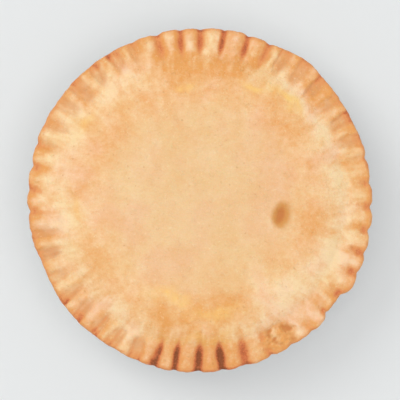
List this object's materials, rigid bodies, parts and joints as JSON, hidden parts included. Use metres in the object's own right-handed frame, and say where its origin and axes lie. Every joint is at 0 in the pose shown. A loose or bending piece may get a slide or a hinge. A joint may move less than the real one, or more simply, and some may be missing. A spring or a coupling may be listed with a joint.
{
  "type": "minced beef and onion pie",
  "caption": "Round shortcrust pie baked shut, with a low flat lid, an oval steam vent and a crimped edge, sitting in a fluted foil tin with a flat base.",
  "frame": {"origin": "middle of the tin's flat base, on the surface it stands on", "axes": "+Z up out of the lid; +X from the middle of the lid towards the side that the vent is on, as the picture shows it; +Y up in the picture"},
  "size_m": [0.1158, 0.1161, 0.0316],
  "materials": {
    "pastry": "pale golden baked shortcrust, matte, browned in the crimps",
    "foil": "plain pressed foil, satin and slightly crinkled"
  },
  "bodies": {
    "root": {"pie": "pastry", "foil_tin": "foil"}
  },
  "joints": []
}
